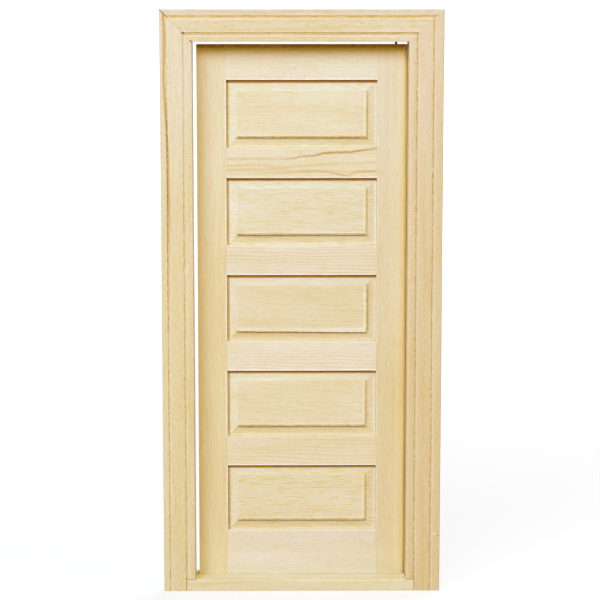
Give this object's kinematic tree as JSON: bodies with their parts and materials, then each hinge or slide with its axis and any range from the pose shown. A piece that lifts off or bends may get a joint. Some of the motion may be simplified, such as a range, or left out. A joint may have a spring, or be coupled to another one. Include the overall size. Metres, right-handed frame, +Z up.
{
  "type": "miniature panelled door",
  "caption": "Miniature unpainted wooden panelled door, hung on pivot pins in a jamb frame with a threshold and a moulded casing on the front.",
  "frame": {"origin": "floor level, midway between the jambs, in the plane of the wall's face, which is the back of the casing", "axes": "+X to the hinge side, +Y through the wall from the cased front to the back, +Z up"},
  "size_m": [0.096, 0.0127, 0.2015],
  "materials": {
    "basswood": "unfinished",
    "pin_steel": "dark"
  },
  "bodies": {
    "frame": {"left_jamb": "basswood", "right_jamb": "basswood", "head_jamb": "basswood", "threshold": "basswood", "left_casing": "basswood", "right_casing": "basswood", "head_casing": "basswood", "top_pin": "pin_steel", "bottom_pin": "pin_steel"},
    "leaf": {"latch_stile": "basswood", "hinge_stile": "basswood", "top_rail": "basswood", "bottom_rail": "basswood", "cross_rail_1": "basswood", "cross_rail_2": "basswood", "cross_rail_3": "basswood", "cross_rail_4": "basswood", "panel_1": "basswood", "panel_2": "basswood", "panel_3": "basswood", "panel_4": "basswood", "panel_5": "basswood"}
  },
  "joints": [
    {"name": "door_swing", "type": "hinge", "parent": "frame", "child": "leaf", "pos_m": [0.03275, 0.0067, 0.097], "axis": [0, 0, -1], "range_deg": [-90, 100]}
  ]
}
